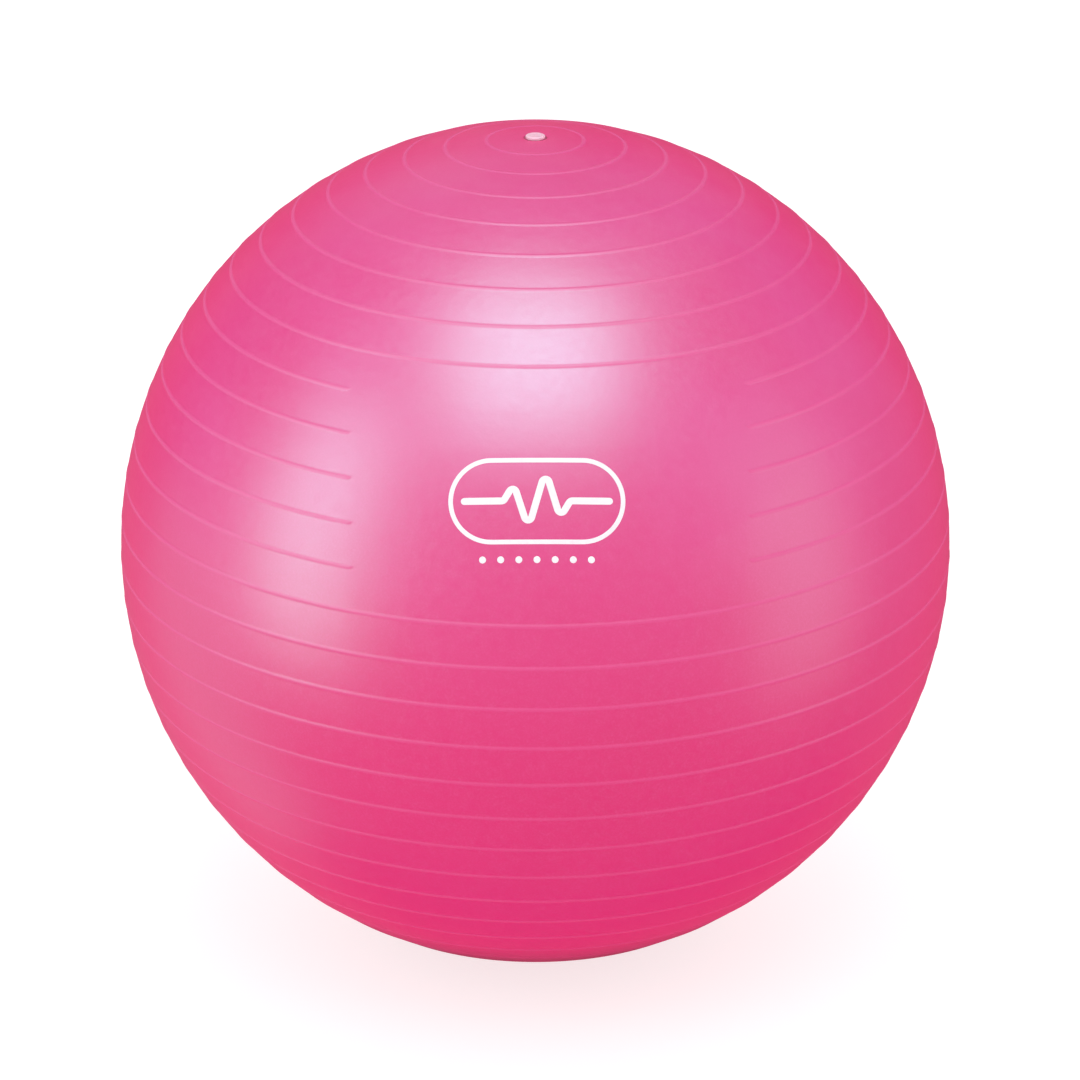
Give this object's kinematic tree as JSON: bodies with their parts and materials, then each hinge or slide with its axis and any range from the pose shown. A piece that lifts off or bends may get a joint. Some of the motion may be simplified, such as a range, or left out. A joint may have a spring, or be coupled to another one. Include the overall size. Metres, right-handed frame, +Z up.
{
  "type": "exercise ball",
  "caption": "Blown-up PVC exercise ball with moulded grip ribs, a smooth printed panel and a filling valve closed by a pull-out plug.",
  "frame": {"origin": "where the polar axis meets the floor, at the middle of the flattened foot", "axes": "+Z up the polar axis through the valve, -Y out of the middle of the smooth front panel, +X to the right of someone who faces the panel"},
  "size_m": [0.6514, 0.6513, 0.6634],
  "materials": {
    "pvc_skin": "satin",
    "valve_rubber": "matte",
    "plug_plastic": "satin",
    "white_ink": "matte"
  },
  "bodies": {
    "ball": {"ball_skin": "pvc_skin", "valve_boss": "valve_rubber", "printed_mark": "white_ink"},
    "plug": {"plug": "plug_plastic"}
  },
  "joints": [
    {"name": "plug_pull", "type": "slide", "parent": "ball", "child": "plug", "axis": [0, 0, 1], "range_m": [0, 0.035]}
  ]
}
